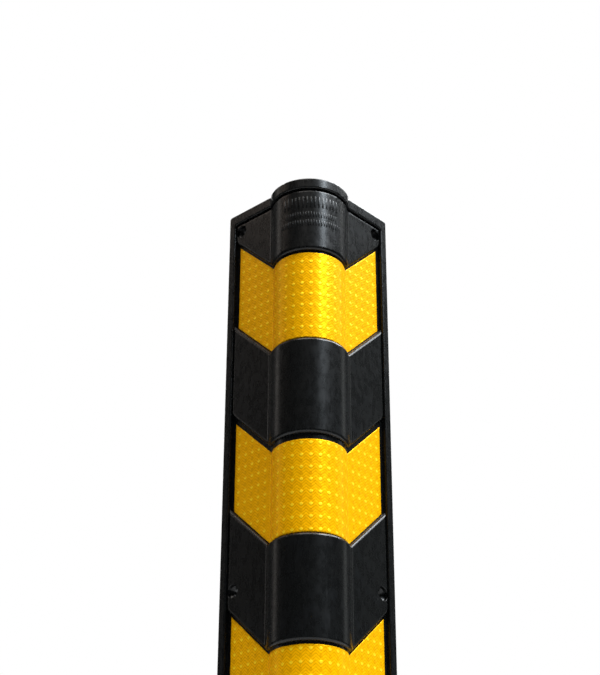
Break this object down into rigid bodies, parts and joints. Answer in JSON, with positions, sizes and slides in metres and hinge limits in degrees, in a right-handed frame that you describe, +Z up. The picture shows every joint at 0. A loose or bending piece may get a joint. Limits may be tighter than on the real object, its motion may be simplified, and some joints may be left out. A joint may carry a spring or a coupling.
{
  "type": "corner guard",
  "caption": "Moulded rubber corner guard: two flat wings joined by a round nose, with raised pads, wrap-around reflective sheets and recessed screw holes.",
  "frame": {"origin": "on the wall's corner line, at the guard's lower end", "axes": "+Z up along the wall's corner, +X along one wall face and +Y along the other; the wall fills +X and +Y, and the nose points to -X and -Y"},
  "size_m": [0.1206, 0.1206, 0.8],
  "materials": {
    "black_rubber": "satin moulded rubber",
    "yellow_sheet": "gloss micro-prismatic reflective sheet"
  },
  "bodies": {
    "root": {"rubber_body": "black_rubber", "sheet_1": "yellow_sheet", "sheet_2": "yellow_sheet", "sheet_3": "yellow_sheet", "sheet_4": "yellow_sheet"}
  },
  "joints": []
}
